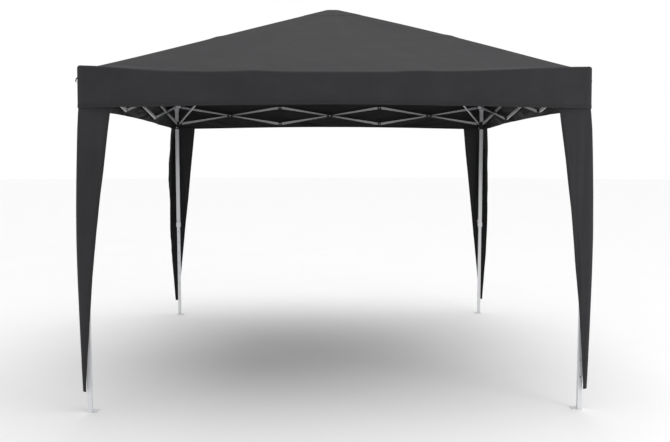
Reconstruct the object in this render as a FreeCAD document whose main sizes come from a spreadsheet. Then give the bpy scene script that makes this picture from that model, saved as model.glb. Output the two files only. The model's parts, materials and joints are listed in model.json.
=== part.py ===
import FreeCAD, Part
import math
import os
import re
import Sketcher

# Fold-up party tent: four telescopic legs, a three-cross scissor truss on every side, four folding
# roof arms that meet at a central hub, a pyramid roof with a valance, and a tapered cover on every leg.
# Millimetres, +Z up, the origin on the ground under the peak.  The front faces -Y.
# Every corner is the same kit turned a quarter turn about the middle, so each piece is drawn once, in
# its corner's own frame: leg at the origin, +X and +Y along the two sides that meet there.

SIZES = {
    # legs
    "leg_spacing": (2900, "between the middles of two neighbouring legs"),
    "outer_leg_wide": (30, "square outer leg, across the flats"),
    "outer_leg_wall": (1.5, "wall of the outer leg"),
    "outer_leg_low": (849, "lower end of the outer leg above the ground"),
    "outer_leg_top": (1995, "upper end of the outer leg above the ground"),
    "inner_leg_wide": (25, "square inner leg, across the flats"),
    "inner_leg_wall": (1.5, "wall of the inner leg"),
    "inner_leg_long": (1127, "inner leg above its foot plate"),
    "adjust_hole_radius": (4.5, "height holes in the inner leg"),
    "adjust_hole_pitch": (100, "between two height holes"),
    "adjust_hole_count": (8, "height holes in one leg"),
    "glide_long": (12, "plastic glide on top of the inner leg"),
    "glide_gap": (0.4, "between the glide and the outer leg"),
    "foot_wide": (60, "square foot plate"),
    "foot_thick": (3, "foot plate"),
    "foot_heel": (16, "foot plate outside the middle of the leg"),
    "peg_hole_radius": (5, "peg holes in the foot plate"),
    "peg_hole_reach": (33, "peg hole from the middle of the leg"),
    "peg_hole_side": (9, "peg hole off the leg's centre line"),
    # height lock on the outer leg's collar
    "collar_wall": (3, "collar round the outer leg"),
    "collar_boss": (4.5, "face of the collar's boss beyond the outer leg"),
    "collar_below": (4, "collar under the end of the outer leg"),
    "collar_tall": (40, "collar"),
    "boss_tall": (28, "raised pad that carries the height lock"),
    "boss_wide": (20, "raised pad"),
    "button_height": (898, "height lock above the ground"),
    "knob_radius": (8, "pull knob of a lock"),
    "knob_long": (7, "pull knob"),
    "knob_gap": (0.5, "between a pull knob and its seat"),
    "stem_radius": (3.5, "stem of a lock"),
    "knob_rim": (2, "rounding of a lock's knob"),
    "stem_gap": (0.4, "round a lock's stem"),
    # plastic mouldings on the outer leg
    "moulding_wall": (4, "walls of the top bracket and of the slider"),
    "bracket_low": (1950, "lower edge of the top bracket"),
    "bracket_top": (2005, "top of the top bracket"),
    "slider_low": (1775, "lower edge of the slider"),
    "slider_top": (1845, "upper edge of the slider"),
    "sliding_gap": (0.4, "between the slider and the outer leg"),
    "lock_height": (1790, "slider lock above the ground"),
    "ear_thick": (3, "ears that hold a bar's end"),
    "ear_gap": (0.3, "between an ear and the bar in it"),
    "ear_radius": (9, "round end of the ears on a truss bar"),
    "arm_ear_radius": (8, "round end of the ears on a roof bar"),
    "end_gap": (0.5, "between a bar's round end and its fork"),
    "neck_start": (22.5, "where the slanting forks leave the leg"),
    "neck_half": (6, "half the neck of a slanting fork"),
    "shoulder_start": (28, "where a slanting fork grows to its full width"),
    # scissor trusses
    "pivot_offset": (33, "truss pivot from the middle of the leg"),
    "truss_top": (1980, "upper truss pivots"),
    "truss_bottom": (1826, "lower truss pivots"),
    "truss_bar_tall": (22, "truss bar"),
    "truss_bar_thick": (10, "truss bar"),
    "truss_bar_wall": (1, "wall of the truss bar"),
    "layer_gap": (3, "between the two layers of truss bars"),
    "fitting_show": (16, "plastic bar end outside its tube"),
    "plug_long": (25, "plastic bar end inside its tube"),
    "bush_long": (54, "plastic sleeve where two bars cross"),
    "bush_wall": (1.2, "wall of that sleeve"),
    "folded_slope": (87.5, "slope of the truss bars when folded, in degrees"),
    # rivets
    "rivet_radius": (3, "all pivot rivets"),
    "rivet_gap": (0.08, "running fit round a rivet"),
    "head_radius": (5.5, "rivet head"),
    "head_thick": (2, "rivet head"),
    "head_gap": (0.3, "between a rivet head and the bar that turns under it"),
    # roof arms
    "roof_bar_wide": (15, "square roof bars"),
    "roof_bar_wall": (1, "wall of the roof bars"),
    "inner_arm_long": (1100, "inner roof bar, from the hub pivot to the knee"),
    "hub_pivot_reach": (38, "roof arm pivot from the middle of the hub"),
    "hub_pivot_height": (2567, "roof arm pivots of the hub"),
    "bracket_reach": (44, "roof arm pivot from the middle of the leg"),
    "arm_pivot_height": (1997, "roof arm pivots of the top brackets"),
    "knee_rise": (9, "knee pivot above the middle of the roof bars"),
    "knee_reach": (10, "knee pivot from the solid end of each half"),
    "knuckle_radius": (8, "round end of the knee"),
    "knuckle_tongue": (8, "tongue of the knee"),
    "strut_wide": (12, "square strut"),
    "strut_wall": (1, "wall of the strut"),
    "strut_drop": (18, "strut pivot under the middle of the roof bar"),
    "strut_reach": (40, "strut pivot from the middle of the leg"),
    "clip_long": (26, "clip that carries the strut on the roof bar"),
    "clip_wall": (2, "wall of that clip"),
    # hub
    "hub_radius": (30, "hub body"),
    "hub_low": (2548, "underside of the hub"),
    "hub_top": (2586, "top of the hub body"),
    "hub_bore_radius": (9, "hollow in the hub"),
    "hub_chamfer": (3, "chamfer round the hub"),
    "hub_fork_root": (12, "where the hub's forks start, from its middle"),
    "cap_radius": (30, "rounded cap that carries the roof's peak"),
    "cap_stem_radius": (14, "stem of that cap"),
    "cap_flare_radius": (17, "top of the cap's stem"),
    "cap_flare_height": (5, "top of that stem above the hub"),
    "cap_rim_low": (7, "underside of the cap's rim above the hub"),
    "cap_rim_top": (9, "top of the cap's rim above the hub"),
    "cap_shoulder": (13, "shoulder of the cap above the hub"),
    "cap_shoulder_radius": (24, "shoulder of the cap"),
    "cap_crown_radius": (12, "flat top of the cap"),
    "cap_top": (2601, "top of the cap"),
    # cloth
    "canopy_gap": (1, "between the corner mouldings and the valance"),
    "cloth_thick": (2, "roof, valance and leg covers, with their hems"),
    "eave_height": (2007, "eaves above the ground"),
    "peak_height": (2606, "flat top of the roof above the ground"),
    "peak_half": (35, "half of the flat top of the roof"),
    "eave_drop": (2.4, "top of the valance below the eaves"),
    "valance_low": (1780, "lower edge of the valance"),
    "cover_low": (135, "lower edge of the leg covers"),
    "cover_top_wide": (185, "leg cover along each side, at the valance"),
    "cover_low_wide": (20, "leg cover along each side, at its lower edge"),
    "cloth_joint": (0.3, "between two panels of cloth"),
}

doc = FreeCAD.newDocument("fold_up_tent")


def fill_sheet(name, rows):
    sheet = doc.addObject("Spreadsheet::Sheet", name)
    for row, (alias, (value, meaning)) in enumerate(rows.items(), start=1):
        sheet.set(f"A{row}", alias)
        sheet.set(f"B{row}", str(value))
        sheet.set(f"C{row}", meaning)
        sheet.setAlias(f"B{row}", alias)
    return sheet


fill_sheet("Sizes", SIZES)
size = {alias: value for alias, (value, _) in SIZES.items()}


HALVINGS = 60  # brings a search well below a micrometre


def worked_out():
    """Lengths and angles of the linkage that follow from the sizes."""
    spacing, offset = size["leg_spacing"], size["pivot_offset"]
    pitch = (spacing - 2 * offset) / 3
    depth = size["truss_top"] - size["truss_bottom"]
    bar = math.hypot(pitch, depth)
    slope = math.degrees(math.atan2(depth, pitch))
    folded_pitch = bar * math.cos(math.radians(size["folded_slope"]))
    folded_half = (3 * folded_pitch + 2 * offset) / 2

    # the open roof arm is straight, from the hub's pivot to the top bracket's
    run = spacing / math.sqrt(2) - size["bracket_reach"] - size["hub_pivot_reach"]
    rise = size["hub_pivot_height"] - size["arm_pivot_height"]
    arm_slope = math.degrees(math.atan2(rise, run))
    outer_arm = math.hypot(run, rise) - size["inner_arm_long"]

    # folded, the inner bar hangs upright from the hub and the outer bar leans to its bracket
    knee = size["hub_pivot_reach"] + size["knee_rise"]
    bracket = folded_half * math.sqrt(2) - size["bracket_reach"]
    low, high = -0.5, 0.5  # radians either side of upright
    for _ in range(HALVINGS):
        lean = (low + high) / 2
        reached = knee + outer_arm * math.sin(lean) + size["knee_rise"] * math.cos(lean)
        low, high = (lean, high) if reached < bracket else (low, lean)
    lean_degrees = math.degrees(lean)

    # the strut has to reach the slider both when the tent stands and when it is folded
    def reaches(along):
        ends = []
        for angle, turn, slider in (
            (math.radians(arm_slope), 0, size["truss_bottom"]),
            (lean - math.pi / 2, 1, size["truss_top"] - bar * math.sin(math.radians(size["folded_slope"]))),
        ):
            across = size["bracket_reach"] + along * math.cos(angle) + size["strut_drop"] * math.sin(angle)
            up = size["arm_pivot_height"] + along * math.sin(angle) - size["strut_drop"] * math.cos(angle)
            ends.append((across - size["strut_reach"], up - slider))
        return ends

    low, high = 0.1 * outer_arm, 0.9 * outer_arm
    for _ in range(HALVINGS):
        along = (low + high) / 2
        standing, folded = (math.hypot(*end) for end in reaches(along))
        low, high = (low, along) if standing > folded else (along, high)
    standing, folded = reaches(along)
    sleeve = size["outer_leg_wide"] / 2 + size["moulding_wall"]
    canopy_half = spacing / 2 + sleeve + size["canopy_gap"]
    roof_run = canopy_half + size["cloth_thick"] - size["peak_half"]
    roof_rise = size["peak_height"] - size["eave_height"]
    return {
        "truss_pitch": (pitch, "between two upper truss pivots"),
        "truss_bar_long": (bar, "truss bar between its end pivots"),
        "truss_slope": (slope, "slope of the truss bars, in degrees"),
        "truss_swing": (size["folded_slope"] - slope, "turn of the truss bars in the fold"),
        "folded_half": (folded_half, "half of the leg spacing when folded"),
        "arm_slope": (arm_slope, "slope of the roof arms, in degrees"),
        "outer_arm_long": (outer_arm, "outer roof bar, from its bracket to the knee"),
        "inner_arm_swing": (90 - arm_slope, "turn of the inner roof bar in the fold"),
        "outer_arm_swing": (90 + arm_slope - lean_degrees, "turn of the outer roof bar in the fold"),
        "strut_along": (along, "strut pivot along the outer roof bar"),
        "strut_long": (math.hypot(*standing), "strut between its pivots"),
        "strut_slope": (math.degrees(math.atan2(standing[1], standing[0])), "slope of the strut"),
        "strut_swing": (
            math.degrees(math.atan2(folded[1], folded[0]) - math.atan2(standing[1], standing[0])),
            "turn of the strut in the fold",
        ),
        "layer": ((size["truss_bar_thick"] + size["layer_gap"]) / 2, "truss layer from the side's plane"),
        "canopy_half": (canopy_half, "half of the roof, inside the valance"),
        "roof_slope": (math.degrees(math.atan2(roof_rise, roof_run)), "slope of the roof's panels"),
        "roof_slant": (math.hypot(roof_rise, roof_run), "a roof panel from its eave to the peak"),
        "leg_half": (size["outer_leg_wide"] / 2, "half of the outer leg"),
        "sleeve_half": (sleeve, "half of the leg's mouldings"),
    }


LINKAGE = worked_out()
fill_sheet("Linkage", LINKAGE)
size.update({alias: value for alias, (value, _) in LINKAGE.items()})
doc.recompute()


# ---- small helpers that keep every size tied to its cell ----

def sized(text):
    """The expression with each size's name replaced by its cell."""
    def cell(match):
        word = match.group(0)
        if word in SIZES:
            return f"Sizes.{word}"
        return f"Linkage.{word}" if word in LINKAGE else word
    return re.sub(r"[a-z]+(?:_[a-z]+)*", cell, str(text))


def bind(made, **sizes):
    for name, text in sizes.items():
        made.setExpression(name, sized(text))
    return made


def place(made, x=0, y=0, z=0, yaw=0, pitch=0, roll=0):
    text = f"placement(vector({x}; {y}; {z}); rotation({yaw}; {pitch}; {roll}))"
    made.setExpression("Placement", sized(text))
    return made


def box(name, x, y, z):
    """A block between a low and a high place on each axis."""
    made = doc.addObject("Part::Box", name)
    bind(made, **{side: f"({high}) - ({low})" for side, (low, high) in
                  zip(("Length", "Width", "Height"), (x, y, z))})
    return place(made, x[0], y[0], z[0])


def rod(name, radius, axis, start, end, at):
    """A round bar along one axis; at holds its other two coordinates."""
    made = bind(doc.addObject("Part::Cylinder", name), Radius=radius, Height=f"({end}) - ({start})")
    if axis == "X":
        return place(made, start, *at, pitch=90)
    if axis == "Y":
        return place(made, at[0], start, at[1], roll=-90)
    return place(made, *at, start)


def join(name, *pieces):
    made = doc.addObject("Part::MultiFuse", name)
    made.Shapes = list(pieces)
    made.Refine = True
    return made


def group(name, *pieces, **where):
    made = doc.addObject("Part::Compound", name)
    made.Links = list(pieces)
    return place(made, **where)


def cut(name, base, *tools):
    made = doc.addObject("Part::Cut", name)
    made.Base = base
    made.Tool = tools[0] if len(tools) == 1 else group(f"{name}_tools", *tools)
    return made


def new_body(name):
    return doc.addObject("PartDesign::Body", name)


def new_sketch(body, name, role):
    sketch = body.newObject("Sketcher::SketchObject", name)
    plane = next(f for f in body.Origin.OriginFeatures if f.Role == role)
    sketch.AttachmentSupport = [(plane, "")]
    sketch.MapMode = "FlatFace"
    return sketch


def outline(sketch, corners):
    """A closed run of lines through corners given as pairs of expressions, each tied to its sizes."""
    start = sketch.GeometryCount
    count = len(corners)
    at = [FreeCAD.Vector(value_of(x), value_of(y), 0) for x, y in corners]
    for n in range(count):
        sketch.addGeometry(Part.LineSegment(at[n], at[(n + 1) % count]), False)
    for n in range(count):
        sketch.addConstraint(
            Sketcher.Constraint("Coincident", start + n, 2, start + (n + 1) % count, 1))
    for n, pair in enumerate(corners):
        for kind, text in zip(("DistanceX", "DistanceY"), pair):
            tie(sketch, kind, (-1, 1, start + n, 1), text)
    return start


def tie(sketch, kind, places, text):
    """One measure of a sketch, from the origin or of a radius, tied to its sizes."""
    number = sketch.addConstraint(Sketcher.Constraint(kind, *places, value_of(text)))
    name = f"size_{number}"
    sketch.renameConstraint(number, name)
    sketch.setExpression(f"Constraints.{name}", sized(text))


def value_of(text):
    """The present value of an expression of sizes."""
    return float(doc.getObject("Sizes").evalExpression(sized(text).replace("Sizes.", "")))


def pad(body, sketch, length, midplane=False):
    made = body.newObject("PartDesign::Pad", f"{body.Name}_pad")
    made.Profile = sketch
    made.Midplane = midplane
    bind(made, Length=length)
    sketch.Visibility = False
    return made


def square_tube(name, role, wide, deep, wall, start, end):
    """A straight hollow tube: legs stand on XY_Plane, bars run along X from YZ_Plane."""
    body = new_body(name)
    sketch = new_sketch(body, f"{name}_section", role)
    for inset in ("0", wall):
        across, up = f"({wide}) / 2 - {inset}", f"({deep}) / 2 - {inset}"
        outline(sketch, [(f"-({across})", f"-({up})"), (across, f"-({up})"),
                         (across, up), (f"-({across})", up)])
    pad(body, sketch, f"({end}) - ({start})")
    return place(body, x=start) if role == "YZ_Plane" else place(body, z=start)


def fork(name, reach, thick, radius, height, start, shoulder, end_half):
    """Two ears along +X that hold a bar's end between them, about the side's plane."""
    half = f"({thick}) / 2 + ear_gap + ear_thick"
    neck_half = "neck_half" if start != shoulder else half
    low, high = f"{height} - {radius}", f"{height} + {radius}"
    arm = join(
        f"{name}_arm",
        box(f"{name}_neck", (start, f"{shoulder} + 1"), (f"-({neck_half})", neck_half), (low, high)),
        box(f"{name}_block", (shoulder, reach), (f"-({half})", half), (low, high)),
        rod(f"{name}_round", radius, "Y", f"-({half})", half, (reach, height)),
    )
    slot = box(
        f"{name}_slot",
        (f"{reach} - {end_half} - end_gap", f"{reach} + 2 * {radius}"),
        (f"-({thick}) / 2 - ear_gap", f"({thick}) / 2 + ear_gap"),
        (f"{low} - 1", f"{high} + 1"),
    )
    hole = rod(f"{name}_hole", "rivet_radius", "Y", f"-({half}) - 1", f"{half} + 1", (reach, height))
    return cut(name, arm, slot, hole)


def rivet(name, low, high, at=(0, 0), low_head=True):
    """A rivet along Y with a head on one or both ends."""
    pieces = [rod(f"{name}_shank", "rivet_radius", "Y", low, high, at),
              rod(f"{name}_head", "head_radius", "Y", high, f"{high} + head_thick", at)]
    if low_head:
        pieces.append(rod(f"{name}_tail", "head_radius", "Y", f"{low} - head_thick", low, at))
    return join(name, *pieces)


def fork_rivet(name, thick, at):
    half = f"({thick}) / 2 + ear_gap + ear_thick"
    return rivet(name, f"-({half})", half, at)


# ---- truss bar: flat steel tube, a plastic fitting in each end, a plastic sleeve in the middle ----

BAR_THICK_HALF = "truss_bar_thick / 2"
BAR_TALL_HALF = "truss_bar_tall / 2"
PIVOT_HOLE = "rivet_radius + rivet_gap"


def make_truss_bar():
    section = square_tube("truss_tube", "YZ_Plane", "truss_bar_thick", "truss_bar_tall",
                          "truss_bar_wall", "fitting_show", "truss_bar_long - fitting_show")
    middle = "truss_bar_long / 2"
    reach = f"({BAR_THICK_HALF}) + bush_wall + 1"
    tube = cut("truss_tube_drilled", section,
               rod("truss_tube_hole", PIVOT_HOLE, "Y", f"-({reach})", reach, (middle, 0)))

    sleeve = square_tube("cross_sleeve", "YZ_Plane", "truss_bar_thick + 2 * bush_wall",
                         "truss_bar_tall + 2 * bush_wall", "bush_wall",
                         f"{middle} - bush_long / 2", f"{middle} + bush_long / 2")
    bush = cut("cross_bush", sleeve,
               rod("cross_bush_hole", PIVOT_HOLE, "Y", f"-({reach})", reach, (middle, 0)))

    thick = (f"-({BAR_THICK_HALF})", BAR_THICK_HALF)
    inside = "truss_bar_wall"
    blank = join(
        "bar_end_blank",
        rod("bar_end_round", BAR_TALL_HALF, "Y", *thick, (0, 0)),
        box("bar_end_block", (0, "fitting_show"), thick, (f"-({BAR_TALL_HALF})", BAR_TALL_HALF)),
        box("bar_end_plug", ("fitting_show", "fitting_show + plug_long"),
            (f"-({BAR_THICK_HALF} - {inside})", f"{BAR_THICK_HALF} - {inside}"),
            (f"-({BAR_TALL_HALF} - {inside})", f"{BAR_TALL_HALF} - {inside}")),
    )
    fitting = cut("bar_end", blank, rod("bar_end_hole", PIVOT_HOLE, "Y", f"-({reach})", reach, (0, 0)))
    far = group("bar_end_far", fitting, x="truss_bar_long", yaw=180)
    return [tube, bush, fitting, far]


TRUSS_BAR = make_truss_bar()
NEXT_LAYER = f"truss_bar_thick + layer_gap + {BAR_THICK_HALF}"
END_RIVET = rivet("end_rivet", f"-({NEXT_LAYER} + head_gap)", BAR_THICK_HALF)
CROSS_RIVET = rivet("cross_rivet", f"-({NEXT_LAYER} + bush_wall + head_gap)",
                    f"{BAR_THICK_HALF} + bush_wall")
END_STUB = rivet("end_stub", f"-({BAR_THICK_HALF})", BAR_THICK_HALF, low_head=False)
CROSS_STUB = rivet("cross_stub", f"-({BAR_THICK_HALF} + bush_wall)",
                   f"{BAR_THICK_HALF} + bush_wall", low_head=False)
MIDDLE, FAR = "truss_bar_long / 2", "truss_bar_long"

# name: (hung from this corner's own side run, distance of its first pivot, layer, goes down, rivets).
# The outer layer holds the bars whose names start with a, the inner layer those with b.
TRUSS_BARS = {
    "a1": ("own", "pivot_offset", "outer", True, [(CROSS_RIVET, MIDDLE), (END_STUB, FAR)]),
    "b1": ("own", "pivot_offset", "inner", False, [(END_RIVET, FAR)]),
    "a2": ("own", "pivot_offset + truss_pitch", "outer", True, [(CROSS_STUB, MIDDLE), (END_STUB, FAR)]),
    "b3": ("previous", "pivot_offset", "inner", True, [(CROSS_RIVET, MIDDLE), (END_STUB, FAR)]),
    "a3": ("previous", "pivot_offset", "outer", False, [(END_RIVET, FAR)]),
    "b2": ("previous", "pivot_offset + truss_pitch", "inner", True,
           [(CROSS_STUB, MIDDLE), (END_STUB, FAR)]),
}


def truss_bar(name):
    """One truss bar with its rivets, placed in its corner's frame."""
    side, along, layer, falls, rivets = TRUSS_BARS[name]
    outward = -1 if (side == "own") == (layer == "outer") else 1
    roll = 180 if outward < 0 else 0
    pieces = list(TRUSS_BAR)
    for kind, where in rivets:
        pieces.append(group(f"{name}_{kind.Name}", kind, x=where, roll=roll))
    height = "truss_top" if falls else "truss_bottom"
    pitch = "truss_slope" if falls else "-truss_slope"
    across = "-layer" if layer == "outer" else "layer"
    if side == "own":
        return group(f"bar_{name}", *pieces, x=along, y=across, z=height, pitch=pitch)
    return group(f"bar_{name}", *pieces, x=across, y=along, z=height, yaw=90, pitch=pitch)


# ---- legs ----

def make_top_bracket():
    sleeve = cut(
        "bracket_sleeve",
        box("bracket_block", ("-sleeve_half", "sleeve_half"), ("-sleeve_half", "sleeve_half"),
            ("bracket_low", "bracket_top")),
        box("bracket_pocket", ("-leg_half", "leg_half"), ("-leg_half", "leg_half"),
            ("bracket_low - 1", "outer_leg_top")),
    )
    truss_fork = fork("bracket_fork", "pivot_offset", "truss_bar_thick", "ear_radius", "truss_top",
                      "leg_half", "leg_half", BAR_TALL_HALF)
    arm_fork = fork("bracket_arm_fork", "bracket_reach", "roof_bar_wide", "arm_ear_radius",
                    "arm_pivot_height", "neck_start", "shoulder_start", "roof_bar_wide / 2")
    bracket = join(
        "top_bracket", sleeve,
        group("bracket_fork_x", truss_fork, y="-layer"),
        group("bracket_fork_y", truss_fork, x="layer", yaw=90),
        group("bracket_fork_slant", arm_fork, yaw=45),
    )
    pin = fork_rivet("bracket_pin", "truss_bar_thick", ("pivot_offset", "truss_top"))
    arm_pin = fork_rivet("bracket_arm_pin", "roof_bar_wide", ("bracket_reach", "arm_pivot_height"))
    return [bracket, group("bracket_pin_x", pin, y="-layer"),
            group("bracket_pin_y", pin, x="layer", yaw=90), group("bracket_pin_slant", arm_pin, yaw=45)]


def make_outer_leg():
    hole = rod("lock_hole", "stem_radius + stem_gap", "X", "inner_leg_wide / 2",
               "leg_half + collar_boss + 1", (0, "button_height"))
    tube = cut("outer_tube", square_tube("outer_tube_blank", "XY_Plane", "outer_leg_wide",
                                         "outer_leg_wide", "outer_leg_wall", "outer_leg_low",
                                         "outer_leg_top"), hole)
    half = "leg_half + collar_wall"
    low = "outer_leg_low - collar_below"
    collar = cut(
        "collar",
        join("collar_blank",
             box("collar_ring", (f"-({half})", half), (f"-({half})", half), (low, f"{low} + collar_tall")),
             box("collar_boss", ("leg_half", "leg_half + collar_boss"),
                 ("-boss_wide / 2", "boss_wide / 2"),
                 ("button_height - boss_tall / 2", "button_height + boss_tall / 2"))),
        box("collar_bore", ("-leg_half", "leg_half"), ("-leg_half", "leg_half"),
            ("outer_leg_low", "button_height + boss_tall")),
        box("collar_mouth", ("-leg_half + outer_leg_wall", "leg_half - outer_leg_wall"),
            ("-leg_half + outer_leg_wall", "leg_half - outer_leg_wall"), (f"{low} - 1", "outer_leg_low")),
        hole,
    )
    return group("outer_leg", tube, collar, *make_top_bracket())


def make_inner_leg():
    tube = square_tube("inner_tube", "XY_Plane", "inner_leg_wide", "inner_leg_wide", "inner_leg_wall",
                       "foot_thick", "foot_thick + inner_leg_long")
    sketch = new_sketch(tube, "adjust_hole", "YZ_Plane")
    sketch.addGeometry(Part.Circle(
        FreeCAD.Vector(0, size["button_height"], 0), FreeCAD.Vector(0, 0, 1), size["adjust_hole_radius"]))
    sketch.addConstraint(Sketcher.Constraint("PointOnObject", 0, 3, -2))
    tie(sketch, "DistanceY", (-1, 1, 0, 3), "button_height - foot_thick")
    tie(sketch, "Radius", (0,), "adjust_hole_radius")
    pocket = tube.newObject("PartDesign::Pocket", "adjust_hole_pocket")
    pocket.Profile = sketch
    pocket.Midplane = True
    pocket.Type = "ThroughAll"
    holes = tube.newObject("PartDesign::LinearPattern", "adjust_holes")
    holes.Originals = [pocket]
    holes.Direction = (next(f for f in tube.Origin.OriginFeatures if f.Role == "Z_Axis"), [""])
    holes.Reversed = True
    bind(holes, Length="adjust_hole_pitch * (adjust_hole_count - 1)", Occurrences="adjust_hole_count")
    tube.Tip = holes

    foot = new_body("foot_plate")
    plan = new_sketch(foot, "foot_plan", "XY_Plane")
    heel, toe = "-foot_heel", "foot_wide - foot_heel"
    outline(plan, [(heel, heel), (toe, heel), (toe, toe), (heel, toe)])
    for number, (x, y) in enumerate((("peg_hole_reach", "peg_hole_side"),
                                     ("peg_hole_side", "peg_hole_reach")), start=4):
        plan.addGeometry(Part.Circle(FreeCAD.Vector(value_of(x), value_of(y), 0),
                                     FreeCAD.Vector(0, 0, 1), size["peg_hole_radius"]))
        tie(plan, "DistanceX", (-1, 1, number, 3), x)
        tie(plan, "DistanceY", (-1, 1, number, 3), y)
        tie(plan, "Radius", (number,), "peg_hole_radius")
    pad(foot, plan, "foot_thick")

    glide_half = "leg_half - outer_leg_wall - glide_gap"
    top = "foot_thick + inner_leg_long"
    glide = box("inner_glide", (f"-({glide_half})", glide_half), (f"-({glide_half})", glide_half),
                (top, f"{top} + glide_long"))
    return group("inner_leg", tube, foot, glide)


def make_slider():
    bore = "leg_half + sliding_gap"
    truss_fork = fork("slider_fork", "pivot_offset", "truss_bar_thick", "ear_radius", "truss_bottom",
                      "sleeve_half - 1", "sleeve_half - 1", BAR_TALL_HALF)
    strut_fork = fork("slider_strut_fork", "strut_reach", "strut_wide", "ear_radius", "truss_bottom",
                      "neck_start", "shoulder_start", "strut_wide / 2")
    lock = rod("slider_lock_hole", "stem_radius + stem_gap", "X", "leg_half", "sleeve_half + 1",
               (0, "lock_height"))
    body = cut(
        "slider_body",
        join("slider_blank",
             box("slider_block", ("-sleeve_half", "sleeve_half"), ("-sleeve_half", "sleeve_half"),
                 ("slider_low", "slider_top")),
             group("slider_fork_x", truss_fork, y="layer"),
             group("slider_fork_y", truss_fork, x="-layer", yaw=90),
             group("slider_fork_slant", strut_fork, yaw=45)),
        box("slider_bore", (f"-({bore})", bore), (f"-({bore})", bore),
            ("slider_low - 1", "slider_top + 1")),
        lock,
    )
    pin = fork_rivet("slider_pin", "truss_bar_thick", ("pivot_offset", "truss_bottom"))
    # the strut's lower pivot is left open, so its rivet is two stubs in the ears
    inner = "strut_wide / 2 + ear_gap"
    stub = rivet("strut_stub", inner, f"{inner} + ear_thick", ("strut_reach", "truss_bottom"),
                 low_head=False)
    return group("slider", body, group("slider_pin_x", pin, y="layer"),
                 group("slider_pin_y", pin, x="-layer", yaw=90),
                 group("slider_stub_left", stub, yaw=45),
                 group("slider_stub_right", mirrored(stub), yaw=45))


def mirrored(piece):
    """The same piece on the other side of its own XZ plane."""
    made = doc.addObject("Part::Mirroring", f"{piece.Name}_mirrored")
    made.Source = piece
    made.Normal = FreeCAD.Vector(0, 1, 0)
    return made


def make_pull_lock(name, face, height, depth):
    """A spring pin: its stem fills the wall and its knob is pulled outwards to free the leg."""
    stem = rod(f"{name}_stem", "stem_radius", "X", f"({face}) - ({depth})", f"({face}) + knob_gap + 1",
               (0, height))
    knob = rod(f"{name}_knob", "knob_radius", "X", f"({face}) + knob_gap",
               f"({face}) + knob_gap + knob_long", (0, height))
    rim = doc.addObject("Part::Fillet", f"{name}_rim")
    rim.Base = knob
    doc.recompute()
    outer_edge = max(range(len(knob.Shape.Edges)),
                     key=lambda n: knob.Shape.Edges[n].BoundBox.XMin + knob.Shape.Edges[n].isClosed())
    rim.Edges = [(outer_edge + 1, size["knob_rim"], size["knob_rim"])]
    return group(name, join(f"{name}_piece", rim, stem))


# ---- roof arms and struts ----

ROOF_HALF = "roof_bar_wide / 2"


def round_end(name, half, hole=PIVOT_HOLE):
    """A plastic bar end with a pivot across it, for a square tube that starts one width away."""
    across = (f"-({half})", half)
    plug = f"{half} - roof_bar_wall"
    blank = join(
        f"{name}_blank",
        rod(f"{name}_round", half, "Y", *across, (0, 0)),
        box(f"{name}_block", (0, "fitting_show"), across, across),
        box(f"{name}_plug", ("fitting_show", "fitting_show + plug_long"),
            (f"-({plug})", plug), (f"-({plug})", plug)),
    )
    return cut(name, blank, rod(f"{name}_hole", hole, "Y", f"-({half}) - 1", f"{half} + 1", (0, 0)))


def knee_end(name, long, layers):
    """One half of the knee: a block in the tube's end and a web up to the raised pivot."""
    half = ROOF_HALF
    plug = f"{half} - roof_bar_wall"
    pieces = [
        box(f"{name}_block", (f"{long} - fitting_show - knee_reach", f"{long} - knee_reach"),
            (f"-({half})", half), (f"-({half})", half)),
        box(f"{name}_plug", (f"{long} - fitting_show - knee_reach - plug_long",
                             f"{long} - fitting_show - knee_reach"),
            (f"-({plug})", plug), (f"-({plug})", plug)),
    ]
    for n, (low, high) in enumerate(layers):
        pieces += [
            box(f"{name}_web_{n}", (f"{long} - knee_reach - 1", long), (low, high),
                (f"-({half})", "knee_rise")),
            rod(f"{name}_round_{n}", "knuckle_radius", "Y", low, high, (long, "knee_rise")),
        ]
    hole = rod(f"{name}_hole", PIVOT_HOLE, "Y", "-roof_bar_wide", "roof_bar_wide", (long, "knee_rise"))
    return cut(name, join(f"{name}_blank", *pieces), hole)


def make_inner_arm():
    tube = square_tube("inner_arm_tube", "YZ_Plane", "roof_bar_wide", "roof_bar_wide", "roof_bar_wall",
                       "fitting_show", "inner_arm_long - fitting_show - knee_reach")
    tongue = knee_end("knee_tongue", "inner_arm_long", [("-knuckle_tongue / 2", "knuckle_tongue / 2")])
    reach = "knuckle_tongue / 2 + ear_gap + ear_thick + head_gap"
    pin = rivet("knee_pin", f"-({reach})", reach, ("inner_arm_long", "knee_rise"))
    return [tube, round_end("inner_arm_end", ROOF_HALF), tongue, pin]


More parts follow.
